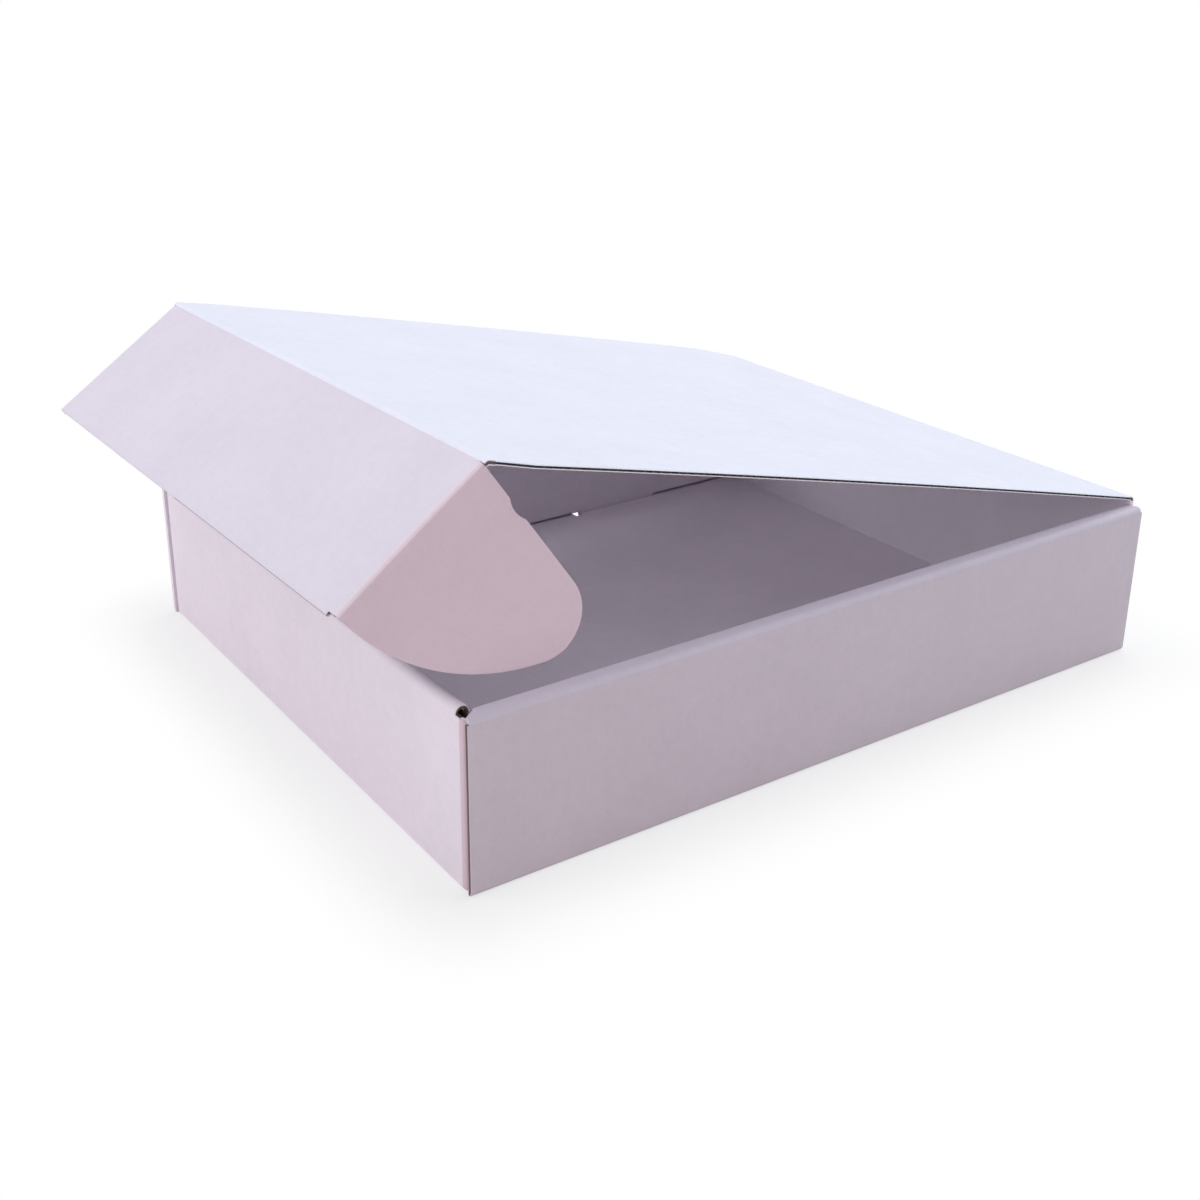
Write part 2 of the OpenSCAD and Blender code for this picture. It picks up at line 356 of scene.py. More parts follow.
def carried(start, legs, stations, rule, space, flutes_on_path, side=1, crushed=None, outer=OUTER,
            inner=INNER, cut=None, trim=None):
    """A folded path carried along straight stations: the point on the path, moved outward by a height,
    and the station are the three coordinates that space puts in place. rule(leg, station) says which
    cells are board, and trim which of them one ply keeps. cut(run, station) is the distance from the
    nearest cut edge."""
    def grid(row_step, column_step, ply):
        points, outward, run, leg = fold_path(start, legs, side, row_step)
        at = refined(stations, column_step)
        middle = ((at[1:] + at[:-1]) / 2)[None, :]
        keep = rule(leg[:, None], middle)
        if trim and ply in trim:
            keep = keep & trim[ply](leg[:, None], middle)
        keep = np.broadcast_to(keep, (len(leg), len(at) - 1))
        share = pinched(cut(run[:, None], at[None, :])) if cut else 1.0

        def place(height):
            h = np.broadcast_to(height * share, (len(points), len(at)))
            a = points[:, :1] + outward[:, :1] * h
            c = points[:, 1:] + outward[:, 1:] * h
            along = np.broadcast_to(at[None, :], h.shape)
            across = along if flutes_on_path else np.broadcast_to(run[:, None], h.shape)
            return np.stack([*space(a, c, along), across], -1)
        return place, keep, run, at
    return layers(grid, not flutes_on_path, outer, inner, crushed)


def edge_steps():
    """Distances from a cut edge at which a sheet is divided, so that its crush and its recess are drawn."""
    b = board_sizes()
    return np.array([FIRST_CRUSH_SHARE * b.crush, b.recess, b.crush])


def make_piece(name, slabs, materials):
    """One mesh object from closed sheets, each (points and distance across the flutes in mm, faces,
    material)."""
    points = np.concatenate([s[0] for s in slabs])
    starts = np.cumsum([0] + [len(s[0]) for s in slabs[:-1]])
    faces = np.concatenate([s[1] + k for s, k in zip(slabs, starts)])
    mesh = bpy.data.meshes.new(name)
    mesh.from_pydata(points[:, :3] * MM, [], faces)
    mesh.polygons.foreach_set("material_index", np.concatenate([np.full(len(s[1]), s[2]) for s in slabs]))
    across = mesh.attributes.new("across_flutes", "FLOAT", "POINT")
    across.data.foreach_set("value", points[:, 3].astype(np.float32))
    for material in materials:
        mesh.materials.append(material)
    mesh.shade_smooth()
    mesh.set_sharp_from_angle(angle=SHARP)
    mesh.update()
    piece = bpy.data.objects.new(name, mesh)
    bpy.context.scene.collection.objects.link(piece)
    return piece


def stand_in(name, slabs, materials, body, node):
    """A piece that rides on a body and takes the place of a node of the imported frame."""
    piece = make_piece(name, slabs, materials)
    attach(piece, body)
    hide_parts(node)


# Materials

def add(tree, kind, inputs=None, **settings):
    """Adds a shader node of that kind with its own settings, gives each input a value or a link from another
    socket, and returns the node's outputs."""
    made = tree.nodes.new("ShaderNode" + kind)
    for key, value in settings.items():
        setattr(made, key, value)
    for key, value in (inputs or {}).items():
        if isinstance(value, bpy.types.NodeSocket):
            tree.links.new(value, made.inputs[key])
        else:
            made.inputs[key].default_value = value
    return made.outputs


def new_material(name):
    """An empty node material, with its node tree."""
    material = bpy.data.materials.new(name)
    material.use_nodes = True
    material.node_tree.nodes.clear()
    return material, material.node_tree


# The liner's clouds about 35 mm apart, its flocks of fibre about 4 mm across, and its fibres. Those are about
# 0.03 mm wide and too fine to show, so they are drawn as flecks of about 0.7 mm. Each row has the size in
# metres, the noise's detail and roughness, its range that is used, and its darkest and lightest share.
MOTTLES = ((0.035, 2.0, 0.5, 0.3, 0.7, 0.965, 1.0),
           (0.004, 2.0, 0.5, 0.3, 0.7, 0.985, 1.015),
           (0.0007, 3.0, 0.6, 0.25, 0.6, 0.955, 1.0))


def bleached_liner(name, white):
    """Bleached kraft liner, machine finished and uncoated: a matt, slightly cloudy white with fine fibre
    flecks, a faint washboard where the flutes are glued behind it, and no clear gloss."""
    material, tree = new_material(name)
    where = add(tree, "TexCoord")["Object"]
    grey = 1.0
    for size, detail, rough, low, high, dark, light in MOTTLES:
        mottle = add(tree, "TexNoise", {"Vector": where, "Scale": 1 / size, "Detail": detail,
                                        "Roughness": rough})["Fac"]
        shade = add(tree, "MapRange", {"Value": mottle, "From Min": low, "From Max": high, "To Min": dark,
                                       "To Max": light})[0]
        grey = add(tree, "Math", {0: grey, 1: shade}, operation="MULTIPLY")[0]
    tint = add(tree, "Mix", {0: 1.0, 6: white, 7: grey}, data_type="RGBA", blend_type="MULTIPLY")[2]
    # Washboard: the liner sinks a little between the flutes it is glued to. The flecks stand a little proud.
    run = add(tree, "Attribute", attribute_name="across_flutes")["Fac"]
    turns = add(tree, "Math", {0: run, 1: 2 * math.pi / board_sizes().flute}, operation="MULTIPLY")[0]
    ridge = add(tree, "Math", {0: turns}, operation="SINE")[0]
    height = add(tree, "Math", {0: ridge, 1: 0.35, 2: mottle}, operation="MULTIPLY_ADD")[0]
    bump = add(tree, "Bump", {"Height": height, "Strength": 0.35, "Distance": 0.00008})[0]
    paper = add(tree, "BsdfPrincipled", {"Base Color": tint, "Normal": bump, "Roughness": 0.82, "IOR": 1.48})
    add(tree, "OutputMaterial", {"Surface": paper[0]})
    return material


def fluting_paper(name, brown):
    """Recycled fluting paper, corrugated between hot rolls: a dull grey brown with darker specks, seen at
    cut edges."""
    material, tree = new_material(name)
    where = add(tree, "TexCoord")["Object"]
    # Specks of recycled fibre about 0.5 mm apart.
    speck = add(tree, "TexNoise", {"Vector": where, "Scale": 1 / 0.0005, "Detail": 2.0})["Fac"]
    grey = add(tree, "MapRange", {"Value": speck, "From Min": 0.3, "From Max": 0.7, "To Min": 0.8})[0]
    tint = add(tree, "Mix", {0: 1.0, 6: brown, 7: grey}, data_type="RGBA", blend_type="MULTIPLY")[2]
    paper = add(tree, "BsdfPrincipled", {"Base Color": tint, "Roughness": 0.9, "IOR": 1.48})
    add(tree, "OutputMaterial", {"Surface": paper[0]})
    return material


def papers(panel):
    """Materials of a panel's board: its outer liner in the panel's tint, the inner liner and the fluting.
    Every tint but the wall's paints the light and shade on its panel.
    """
    m = bpy.context.scene.mailer_board
    wanted = (("bleached_liner_" + panel, bleached_liner, getattr(m, panel + "_white")),
              ("bleached_liner_inside", bleached_liner, m.inner_white),
              ("recycled_fluting", fluting_paper, m.fluting))
    return [bpy.data.materials.get(name) or make(name, tint) for name, make, tint in wanted]


# Body

# The two sides, and the sign of x on them, which the functions below call a hand.
HANDS = {"right": 1, "left": -1}
# How far the creases reach along the boards that they join, in mm: the rear and ear creases both ways, the
# front crease along the lid, and down the flap.
CREASE_REACH = 1.8
LID_REACH = 2.0
FOLD_REACH = 1.0
# The longest stretch, in mm, between two points of a curled, a rolled or bowed, and a plain board.
CURL_STEP = 4.0
BOW_STEP = 12.0
PLAIN_STEP = 20.0
# Points across the lid, and the length in mm over which its left side springs up from the rear crease.
LID_POINTS = 25
LIFT_RUN = 25.0


def settled(x, y, z):
    """Depth of a point of the body once the front has settled: near the front it stands out at the foot,
    leans back in proportion to the height and is pushed in more towards the left, and all of this fades
    evenly with the depth."""
    v = body_sizes()
    near = np.clip(1 - (y + v.half_d) / v.settle, 0, 1)
    return y + near * (v.lean * z / v.height - v.foot_out + v.push * (0.5 - x / (2 * v.half_w)))


def along_y(a, c, along):
    """A path drawn as (x, height), carried along the depth."""
    return a, settled(a, along, c), c


def along_x(a, c, along):
    """A path drawn as (depth, height), carried along the width."""
    return along, a, c


def everywhere(leg, at):
    """A rule that keeps every cell."""
    return (leg >= 0) & (at == at)


def base_sheet():
    """The base: a flat path across the width carried along the depth, with the cells of the slots left
    out."""
    v, b = body_sizes(), board_sizes()
    side = np.array([v.inner_w - v.slot_gap, v.inner_w + b.board + v.slot_gap])
    front = np.array([v.front_roll - b.board - v.slot_gap, v.front_roll + v.slot_gap]) - v.half_d
    # Each slot has its tab's length, a clearance and, towards the middle, some spare length.
    slack = np.array([-v.slot_gap - v.slot_slack, v.slot_gap])
    side_y, front_x = v.side_ends[2:] + slack, v.front_ends[2:] + slack
    edge = v.half_w - v.fold
    spare = v.inner_w - v.relief
    xs = np.sort(np.r_[side, -side, front_x, -front_x, -spare, spare, edge])
    spare_y = side_y[0] + v.slot_slack * np.array([1, 2])
    ys = np.sort(np.r_[side_y, -side_y, spare_y, front, v.fold - v.half_d, v.half_d - v.fold,
                       v.settle - v.half_d])
    middle = np.r_[-edge, xs]
    middle = (middle[1:] + middle[:-1]) / 2

    def rule(leg, y):
        x = np.abs(middle[leg])
        in_side = (x > side[0]) & (x < side[1]) & (np.abs(y) > side_y[0]) & (np.abs(y) < side_y[1])
        in_front = (x > front_x[0]) & (x < front_x[1]) & (y > front[0]) & (y < front[1])
        # The rear slots of the sides end in a wider relief, where the light of the floor shows.
        relief = (y > side_y[0]) & (((x > spare) & (y < spare_y[0])) | ((x > side[1]) & (y < spare_y[1])))
        return ~(in_side | in_front | relief)
    return carried((-edge, v.mid), [(x, v.mid) for x in xs], ys, rule, along_y, True)


def side_wall_sheet(hand):
    """A double side wall: a path from the base's edge up the outer panel, over the flat roll and down the
    inner panel to its tabs, carried along the depth. The roll is shorter than the outer panel and cut on
    the slant at both ends, and only the tabs go below the inner panel's foot."""
    v = body_sizes()
    high = v.height - v.fold
    reach = 3 * v.fold
    y0 = (v.set_back if hand > 0 else -v.lip) - v.half_d
    legs = [((v.half_w - v.fold, v.fold), v.fold_mid, -90, 0), (v.half_w - v.mid, high - reach),
            (v.half_w - v.mid, high), ((v.half_w - v.fold, high), v.fold_mid, 0, 90),
            (v.inner_w + v.fold, v.height - v.mid),
            ((v.inner_w + v.fold, high), v.fold_mid, 90, 180),
            (v.inner_w + v.mid, v.foot), (v.inner_w + v.mid, v.tab_rise)]
    ys = np.unique(np.r_[y0, y0 + v.groove, v.roll_y0, v.roll_y0 + v.roll_rim, v.roll_y0 + 2 * reach,
                         v.side_ends, v.settle - v.half_d, v.roll_y1 - 2 * reach, v.roll_y1, v.half_d])

    def rule(leg, y):
        on_tab = np.abs(np.abs(y) - v.side_tab_pitch / 2) < v.side_tab / 2
        return (leg <= 2) | ((leg <= 6) & (y > v.roll_y0) & (y < v.roll_y1)) | ((leg == 7) & on_tab)

    def space(a, c, along):
        outer = np.clip((a - v.inner_w - v.fold) / (v.side_roll - 2 * v.fold), 0, 1)
        share = outer * np.clip((c - high + reach) / reach, 0, 1)
        front = np.interp(along, [y0, v.roll_y0, v.roll_y0 + 2 * reach], [0, 1, 0])
        rear = np.interp(along, [v.roll_y1 - 2 * reach, v.roll_y1, v.half_d], [0, 1, 0])
        y = along + share * (v.rear_slant * rear - v.front_slant * front)
        return hand * a, settled(hand * a, y, c), c

    def behind(leg, y):
        on_roll = (leg > 2) & (leg < 6)
        return (y > y0 + v.groove) & ~(on_roll & (y < v.roll_y0 + v.roll_rim))

    def outside(leg, y):
        return leg < 3

    def stretch(start, first, last, stations, keep=everywhere, **plies):
        return carried(start, legs[first:last], stations, lambda leg, y: keep(leg + first, y), space, True,
                       **plies)
    foot = (v.half_w - v.fold, v.mid)
    top = (v.half_w - v.mid, high)
    inside = (v.inner_w + v.mid, high)
    wall = stretch(foot, 0, len(legs), ys, rule, trim={"outer": outside, "inner": behind, "core": behind})
    # The roll's top and its outer bend take the roll tint, painted shade of the lid over them.
    wall += stretch(top, 3, 6, ys, rule, outer=PAINTED_LIGHT_TINT)[:1]
    wall += stretch(inside, 6, len(legs), ys, rule, outer=INNER)[:1]
    # The roll's front end is crushed white. The panel's is split, brown on the right and white on the left.
    rim = v.roll_y0 + np.array([0, v.roll_rim])
    wall += stretch(top, 3, 6, rim, crushed=OUTER, inner=OUTER)[1:]
    rim = y0 + np.array([v.groove_deep, v.groove])
    fill = FLUTING if hand > 0 else INNER
    return wall + stretch(foot, 0, 3, rim, crushed=fill, inner=fill)[1:]


def front_wall_sheet():
    """The double front wall: a path from the base's edge up the outer panel, round the roll and down the
    inner panel to its tabs, carried along the width."""
    v = body_sizes()
    r = v.front_roll / 2
    legs = [((v.fold - v.half_d, v.fold), v.fold_mid, 270, 180), (v.mid - v.half_d, v.shoulder),
            ((r - v.half_d, v.shoulder), r - v.mid, 180, 0), (v.front_roll - v.mid - v.half_d, v.foot),
            (v.front_roll - v.mid - v.half_d, v.tab_rise)]
    roll = v.roll_end
    tight = roll - 3 * r
    xs = np.r_[-v.wall_flat, -roll, -tight, v.front_ends, tight, roll, v.wall_flat]

    def rule(leg, x):
        across = np.abs(x)
        on_tab = np.abs(across - v.front_tab_pitch / 2) < v.front_tab / 2
        on_roll = ((leg == 2) & (across < tight)) | ((leg == 3) & (across < roll))
        return (leg <= 1) | on_roll | ((leg == 4) & on_tab)

    def space(a, c, along):
        rise = np.clip(1 - (roll - np.abs(along)) / v.rise_run, 0, 1) ** 2
        z = c + v.roll_rise * rise * np.clip(1 - (v.shoulder - c) / v.front_roll, 0, 1)
        return along, settled(along, a, c), z
    wall = carried((v.fold - v.half_d, v.mid), legs, refined(xs, BOW_STEP), rule, space, False, side=-1,
                   trim={"inner": lambda leg, x: np.abs(x) < tight})
    # Near its open ends the tight roll is drawn as solid brown board without its inner liner: its cut ends
    # show the brown board, and the brown inside the hollow paints the shade there.
    rim = np.r_[edge_steps(), 3 * r]
    ends = np.r_[-roll, rim - roll, roll - rim[::-1], roll]
    return wall + carried((v.mid - v.half_d, v.shoulder), legs[2:3], ends, lambda leg, x: np.abs(x) > tight,
                          space, False, side=-1, crushed=FLUTING, cut=lambda run, x: roll - np.abs(x),
                          trim={"inner": lambda leg, x: np.abs(x) < roll - rim[2]})


def rear_wall_sheet(top):
    """The single rear wall up to a height: a path from the base's edge upwards, carried along the width,
    which is a little less above the dust flaps."""
    v = body_sizes()
    lid = lid_sizes().half_width
    rim = lid - v.roll_rim
    start = (v.half_d - v.fold, v.mid)
    legs = [((v.half_d - v.fold, v.fold), v.fold_mid, -90, 0), (v.half_d - v.mid, v.dust_top),
            (v.half_d - v.mid, top)]
    xs = np.sort([-v.wall_flat, -lid, -rim, rim, lid, v.wall_flat])

    def rule(leg, x):
        return (leg <= 1) | (np.abs(x) < lid)

    def closed(leg, x):
        return (leg > 1) & (np.abs(x) > rim) & (np.abs(x) < lid)

    def open_core(leg, x):
        return ~closed(leg, x)
    wall = carried(start, legs, xs, rule, along_x, False, trim={"core": open_core})
    # The ends beside the crease are crushed shut.
    return wall + carried(start, legs, xs, closed, along_x, False, crushed=INNER)[2:]


def dust_flap_sheet(fold_top, hand, end):
    """A dust flap, at the front for end 1 and the rear for -1: a path round the upright corner and back
    along the side wall, carried upwards, where the stations are drawn in to the flap's upper edge, and
    drawn down to the base at the corner."""
    v = body_sizes()
    y0 = v.corner - v.half_d
    tip = v.dust_len - v.half_d
    wall = v.wall_half_w - v.mid
    legs = [((v.wall_flat, y0), v.corner - v.mid, -90, 0), (wall, y0 + v.corner),
            (wall, v.settle - v.half_d), (wall, tip - v.dust_taper), (wall, tip)]

    def height(c, along):
        upper = np.interp(c, [y0, tip - v.dust_taper, tip], [fold_top, v.dust_top, v.dust_top - v.dust_taper])
        lower = np.interp(c, [y0, y0 + v.corner], [v.slot_gap, v.dust_foot])
        return lower + (along - v.dust_foot) * (upper - lower) / (v.dust_top - v.dust_foot)

    def space(a, c, along):
        z = height(c, along)
        return hand * a, settled(hand * a, end * c, z), z

    def rounded(a, c, along):
        below = np.clip(v.fold - height(c, along), 0, v.fold)
        share = 1 - (v.fold - np.sqrt(v.fold ** 2 - below ** 2)) / v.corner
        return space(v.wall_flat + (a - v.wall_flat) * share, y0 + (c - y0) * share, along)
    stations = np.array([v.dust_foot, v.dust_top])
    foot = np.r_[v.dust_foot + v.fold * np.linspace(0, 1, 6), v.dust_top]
    # The fold's foot is as round as the wall's, and its outer liner has the corner tint: painted shade, a
    # darker pink where the fold turns away from the light.
    fold = carried((v.wall_flat, v.mid - v.half_d), legs[:1], foot, everywhere, rounded, True, crushed=OUTER,
                   inner=FLUTING, outer=PAINTED_LIGHT_TINT)
    return fold + carried((wall, y0), legs[1:], stations, everywhere, space, True)


# Lid, flap and ears

def lid_point(x, s, n):
    """A point of the lid's frame in the shared frame: s runs from the rear crease along the lid, n is its
    height above the lid's middle. The lid is twisted about its long middle line in proportion to s, bowed
    as a parabola, and its left side has sprung up near the rear crease and falls back to nothing at the
    front fold."""
    v = lid_sizes()
    k = np.clip(s / LID_LEN, 0, 1)
    turn = v.twist * k
    spring = v.lift * (0.5 - x / (2 * v.half_width)) * (1 - k) * np.clip(s / LIFT_RUN, 0, 1)
    up = n * np.cos(turn) + x * np.sin(turn) + v.bow * 4 * k * (1 - k) + spring
    x = x * np.cos(turn) - n * np.sin(turn)
    return (x, HINGE[1] - s * math.cos(LID_OPEN) + up * math.sin(LID_OPEN),
            HINGE[2] + s * math.sin(LID_OPEN) + up * math.cos(LID_OPEN))


def flap_point(x, d, n):
    """A point of the flap's frame: d runs from the lid's fold down the flap, n is its height above the
    flap's middle. The flap has curled a little further round, the more the further down and to the right."""
    v = lid_sizes()
    bend = FLAP_BEND + (v.flap_spring + v.flap_twist * x / EAR_X) * np.sqrt(np.clip(d / v.flap_len, 0, 1))
    c, s = np.cos(bend), np.sin(bend)
    return lid_point(x, LID_LEN + d * c + n * s, n * c - d * s)


def lid_half_width(s):
    """Half the lid's width at a distance from the rear crease: full, then narrowing to the flap's fold."""
    v = lid_sizes()
    return np.interp(s, [LID_LEN - v.taper, LID_LEN], [v.half_width, EAR_X + board_sizes().board / 2])


def on_lid(a, c, along):
    """A path drawn as (way from the rear crease, height), carried across shares of the lid's half width."""
    return lid_point(along * lid_half_width(a), a, c)


def lid_sheet():
    """The lid between its two creases: a flat path carried across shares of its half width."""
    v, b = lid_sizes(), board_sizes()

    def inside(leg, share):
        return (1 - np.abs(share)) * v.half_width > b.recess
    stops = refined(np.array([CREASE_REACH, LID_LEN - v.taper, LID_LEN - LID_REACH]), BOW_STEP)
    near = 1 - edge_steps()[::-1] / v.half_width
    shares = np.r_[-1, -near[::-1], np.linspace(-0.96, 0.96, LID_POINTS), near, 1]
    return carried((stops[0], 0), [(s, 0) for s in stops[1:]], shares, everywhere, on_lid, False, side=-1,
                   cut=lambda run, share: (1 - np.abs(share)) * v.half_width, trim={"core": inside})


def flap_sheet():
    """The tuck flap from its fold to its lower edge, between the ear folds, with a step cut in the lower
    right corner. The die has crushed the lower edge on the slant, so that the outer liner ends a little
    short of it."""
    v = lid_sizes()
    edge = EAR_X - CREASE_REACH
    xs = np.array([-edge, 0, EAR_X - v.step_w, edge])
    down = refined([FOLD_REACH, v.flap_len - v.step_h], CURL_STEP)[1:]
    last = len(down)

    def rule(leg, x):
        return (leg < last) | (x < EAR_X - v.step_w)

    def short(leg, x):
        return (leg < last + 2) | (x < 0)

    def shallow(leg, x):
        return (leg < last + 1) | (x > 0)

    def space(a, c, along):
        return flap_point(along, a, c)
    legs = [(d, 0) for d in (*down, v.flap_len - edge_steps()[1], v.flap_len - v.bevel, v.flap_len)]
    return carried((FOLD_REACH, 0), legs, refined(xs, PLAIN_STEP), rule, space, False, side=-1,
                   cut=lambda run, x: v.flap_len - FOLD_REACH - run, trim={"outer": short, "core": shallow})


def ear_sheet(hand):
    """An ear: a path out from its fold, carried across shares of the width between its upper edge, which
    has a round notch, and its lower edge, which is a long arc that runs into the round end."""
    v = lid_sizes()
    end = np.array([v.ear_len - v.ear_end, v.ear_top + v.ear_end])
    # The two arcs would only touch, so their centres are set a little further apart for them to cross.
    cross = 0.1
    gap = v.ear_edge - v.ear_end + cross
    low_d = v.ear_low - v.ear_edge
    low_a = end[0] - math.sqrt(gap ** 2 - (end[1] - low_d) ** 2)
    turn = math.atan2(end[1] - low_d, end[0] - low_a) + math.acos(
        (v.ear_edge ** 2 - v.ear_end ** 2 - gap ** 2) / (2 * v.ear_end * gap))
    meet = end[0] + v.ear_end * math.cos(turn)
    notch_r = ((v.notch_w / 2) ** 2 + v.notch_h ** 2) / (2 * v.notch_h)

    def edges(a):
        def arc(radius, centre):
            return np.sqrt(np.maximum(radius ** 2 - (a - centre) ** 2, 0))
        rise = arc(v.ear_end, end[0])
        bite = v.ear_top + v.notch_h - notch_r + arc(notch_r, v.notch_at)
        upper = np.where(a > end[0], end[1] - rise, np.maximum(v.ear_top, bite))
        return upper, np.where(a > meet, end[1] + rise, low_d + arc(v.ear_edge, low_a))

    def space(a, c, along):
        upper, lower = edges(a)
        share = (along - v.ear_top) / (v.ear_low - v.ear_top)
        return flap_point(hand * (EAR_X + c), upper + share * (lower - upper), -a)
    # The round end stops 5 degrees short of its tip, so that its last edge keeps some length.
    plain = np.linspace(CREASE_REACH, end[0], 36)
    bitten = v.notch_at + np.linspace(-0.5, 0.5, 13) * v.notch_w
    rounded = end[0] + v.ear_end * np.sin(np.radians(np.linspace(0, 85, 24)))
    stops = np.unique(np.r_[plain, bitten, rounded, meet].round(5))
    near = edge_steps()
    between = np.linspace(v.ear_top + CURL_STEP, v.ear_low - CURL_STEP, 11)
    across = np.r_[v.ear_top, v.ear_top + near, between, v.ear_low - near[::-1], v.ear_low]

    def cut(run, at):
        upper, lower = edges(stops[0] + run)
        share = (at - v.ear_top) / (v.ear_low - v.ear_top)
        return np.minimum(share, 1 - share) * (lower - upper)
    legs = [(a, 0) for a in stops[1:]]
    return carried((stops[0], 0), legs, across, everywhere, space, True, side=-1, cut=cut)


def rear_crease_sheet():
    """The crease between the rear wall and the lid: a path up the wall, round the crease and along the
    lid."""
    b = board_sizes()
    r = b.crease + b.board / 2
    bend = math.pi / 2 - LID_OPEN
    tangent = r * math.tan(bend / 2)
    y, z = HINGE[1], HINGE[2]
    far = (y - CREASE_REACH * math.cos(LID_OPEN), z + CREASE_REACH * math.sin(LID_OPEN))
    legs = [(y, z - tangent), ((y - r, z - tangent), r, 0, math.degrees(bend)), far]
    half = lid_sizes().half_width
    across = np.linspace(-half, half, 5)
    wall = carried((y, z - CREASE_REACH), legs[:1], across, everywhere, along_x, False, crushed=INNER)
    return wall + carried((y, z - tangent), legs[1:], across, everywhere, along_x, False, crushed=FLUTING)


def front_crease_sheet():
    """The crease between the lid and its flap: a path along the lid, round the fold and down the flap."""
    b = board_sizes()
    r = b.crease + b.board / 2
    tangent = r * math.tan(FLAP_BEND / 2)
    c, s = math.cos(FLAP_BEND), math.sin(FLAP_BEND)
    legs = [(LID_LEN - tangent, 0), ((LID_LEN - tangent, -r), r, 90, 90 - math.degrees(FLAP_BEND)),
            (LID_LEN + FOLD_REACH * c, -FOLD_REACH * s)]
    return carried((LID_LEN - LID_REACH, 0), legs, np.linspace(-1, 1, LID_POINTS), everywhere, on_lid, False,
                   side=-1, crushed=FLUTING)


def ear_crease_sheets(hand):
    """The crease between the flap and an ear: a path across the flap, round the fold and out along the
    ear. The fold goes with the flap and the strip behind it with the ear."""
    b, v = board_sizes(), lid_sizes()
    r = b.crease + b.board / 2
    middle = r * math.sqrt(0.5)
    centre = (EAR_X - r, -r)
    # On the right the bend's first half has the fold tint and the rest the ear tint, painted light that
    # changes across the bend; on the left all of it has the flap's tint.
    second, fill = (PAINTED_LIGHT_TINT, FLUTING) if hand > 0 else (OUTER, OUTER)
    parts = [((EAR_X - CREASE_REACH, 0), [(EAR_X - r, 0), (centre, r, 90, 45)], OUTER),
             ((EAR_X - r + middle, middle - r), [(centre, r, 45, 0)], second),
             ((EAR_X, -r), [(EAR_X, -CREASE_REACH)], second)]

    def space(a, c, along):
        return flap_point(hand * a, along, c)
    stops = refined([v.ear_top, v.ear_low if hand > 0 else v.flap_len], CURL_STEP)
    made = [carried(start, legs, stops, everywhere, space, True, side=-1, crushed=fill, outer=outer)
            for start, legs, outer in parts]
    return made[0] + made[1], made[2]


# Operators of the pieces

class MAILER_OT_base(Operator):
    """Base with the slots for the lock tabs"""
    bl_idname = "mailer.base"
    bl_label = "Base"

    def execute(self, context):
        stand_in("base_panel", base_sheet(), papers("wall"), "box", "box_body")
        return {"FINISHED"}


class MAILER_OT_side_walls(Operator):
    """Double side walls with their rolls, inner panels and lock tabs"""
    bl_idname = "mailer.side_walls"
    bl_label = "Side walls"

    def execute(self, context):
        # The side walls take the side tint and their rolls the roll tint, both painted shade.
        tints = papers("side") + papers("roll")[:1]
        for side, hand in HANDS.items():
            stand_in("side_wall_" + side, side_wall_sheet(hand), tints, "box", "box_body")
        return {"FINISHED"}


class MAILER_OT_front_wall(Operator):
    """Double front wall with its roll and two dust flaps"""
    bl_idname = "mailer.front_wall"
    bl_label = "Front wall"

    def execute(self, context):
        top = body_sizes().shoulder + body_sizes().roll_rise
        sheets = front_wall_sheet() + dust_flap_sheet(top, 1, 1) + dust_flap_sheet(top, -1, 1)
        # The dust flaps' upright folds take the corner tint, painted shade.
        stand_in("front_wall", sheets, papers("wall") + papers("corner")[:1], "box", "box_body")
        return {"FINISHED"}


class MAILER_OT_rear_wall(Operator):
    """Single rear wall with two dust flaps"""
    bl_idname = "mailer.rear_wall"
    bl_label = "Rear wall"

    def execute(self, context):
        top = body_sizes().dust_top
        flaps = dust_flap_sheet(top, 1, -1) + dust_flap_sheet(top, -1, -1)
        sheets = rear_wall_sheet(HINGE[2] - CREASE_REACH) + flaps
        # The dust flaps' upright folds take the corner tint, painted shade.
        stand_in("rear_wall", sheets, papers("wall") + papers("corner")[:1], "box", "box_body")
        return {"FINISHED"}


class MAILER_OT_lid(Operator):
    """Lid with raw side edges"""
    bl_idname = "mailer.lid"
    bl_label = "Lid"

    def execute(self, context):
        # The lid takes the lid tint, which paints the cool light from above.
        stand_in("lid_board", lid_sheet(), papers("lid"), "lid", "lid_panel")
        return {"FINISHED"}


class MAILER_OT_flap(Operator):
    """Tuck flap on the lid's front fold"""
    bl_idname = "mailer.flap"
    bl_label = "Tuck flap"

    def execute(self, context):
        # The flap takes the flap tint, which paints its shade.
        stand_in("flap_board", flap_sheet(), papers("flap"), "flap", "tuck_flap")
        return {"FINISHED"}


class MAILER_OT_ears(Operator):
    """Rounded ears on the flap's ends"""
    bl_idname = "mailer.ears"
    bl_label = "Ears"

    def execute(self, context):
        for side, hand in HANDS.items():
            # The ears take the ear tint, painted pink light.
            stand_in("ear_" + side + "_board", ear_sheet(hand), papers("ear"), "ear_" + side, side + "_ear")
        return {"FINISHED"}


